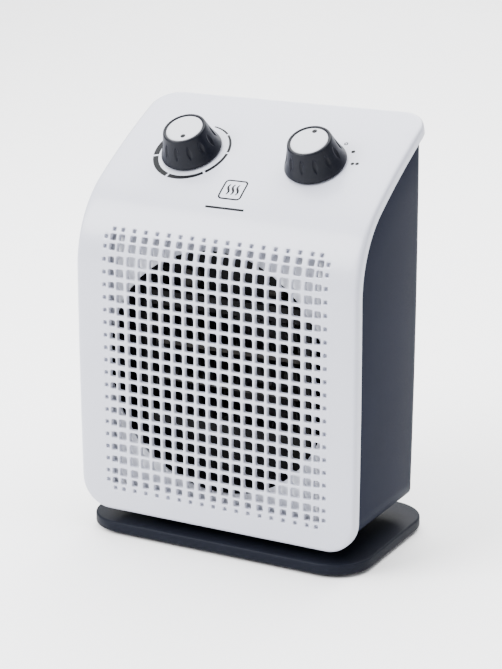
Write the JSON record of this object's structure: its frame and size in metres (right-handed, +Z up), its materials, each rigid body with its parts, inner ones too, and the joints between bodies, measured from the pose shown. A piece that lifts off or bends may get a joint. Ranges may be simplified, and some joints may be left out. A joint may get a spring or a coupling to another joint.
{
  "type": "ceramic fan heater",
  "caption": "Free-standing ceramic fan heater: white grille front that bends back into a sloping top with rotary knobs, dark rear housing, flat rounded base.",
  "frame": {"origin": "middle of the base's outline, on the surface the feet stand on", "axes": "+Z up, front faces -Y, +X to the right of someone who looks at the front"},
  "size_m": [0.192, 0.117, 0.2644],
  "materials": {
    "white_plastic": "satin",
    "dark_plastic": "fine matt grain",
    "black_plastic": "satin",
    "light_plastic": "satin",
    "frame_plastic": "matt",
    "grey_plastic": "matt",
    "rubber": "matt",
    "steel": "satin",
    "aluminium": "satin",
    "brass": "satin",
    "copper": "enamelled winding wire",
    "ceramic": "matt ceramic"
  },
  "bodies": {
    "heater": {"front_panel": "white_plastic", "rear_housing": "dark_plastic", "base_plate": "dark_plastic", "base_pedestal": "dark_plastic", "air_duct": "black_plastic", "air_shroud": "frame_plastic", "motor_mount": "frame_plastic", "element_frame": "frame_plastic", "thermostat_body": "grey_plastic", "selector_switch_body": "grey_plastic", "terminal_block": "grey_plastic", "element_baffle": "grey_plastic", "rubber_foot_1": "rubber", "rubber_foot_2": "rubber", "rubber_foot_3": "rubber", "rubber_foot_4": "rubber", "cord_gland": "rubber", "supply_lead": "rubber", "motor_lead": "rubber", "element_lead": "rubber", "housing_screw_1": "steel", "housing_screw_2": "steel", "housing_screw_3": "steel", "housing_screw_4": "steel", "base_screw_1": "steel", "base_screw_2": "steel", "motor_screw_1": "steel", "motor_screw_2": "steel", "bracket_screw_1": "steel", "bracket_screw_2": "steel", "control_bracket": "steel", "motor_laminations": "steel", "front_bearing_bridge": "steel", "rear_bearing_bridge": "steel", "thermostat_nut": "steel", "selector_nut": "steel", "aluminium_fins_1": "aluminium", "aluminium_fins_2": "aluminium", "aluminium_fins_3": "aluminium", "element_terminal_1": "brass", "element_terminal_2": "brass", "selector_terminals": "brass", "thermostat_bimetal": "brass", "motor_bush_1": "brass", "motor_bush_2": "brass", "motor_coil": "copper", "ceramic_bar_1": "ceramic", "ceramic_bar_2": "ceramic", "thermal_fuse": "ceramic", "thermal_cutout": "ceramic"},
    "thermostat_dial": {"thermostat_knob": "black_plastic", "thermostat_knob_cap": "light_plastic", "thermostat_spindle": "steel"},
    "selector_dial": {"selector_knob": "black_plastic", "selector_knob_cap": "light_plastic", "selector_spindle": "steel"},
    "fan_rotor": {"fan_impeller": "black_plastic", "motor_shaft": "steel", "motor_rotor": "steel", "fan_clip": "steel"}
  },
  "joints": [
    {"name": "thermostat_turn", "type": "hinge", "parent": "heater", "child": "thermostat_dial", "pos_m": [-0.0424, -0.00481, 0.23846], "axis": [0, -0.5126, 0.8586], "range_deg": [-145, 150]},
    {"name": "selector_turn", "type": "hinge", "parent": "heater", "child": "selector_dial", "pos_m": [0.0424, -0.00481, 0.23846], "axis": [0, -0.5126, 0.8586], "range_deg": [-82, 0]},
    {"name": "fan_spin", "type": "hinge", "parent": "heater", "child": "fan_rotor", "pos_m": [0, 0, 0.114], "axis": [0, -1, 0], "continuous": true}
  ]
}
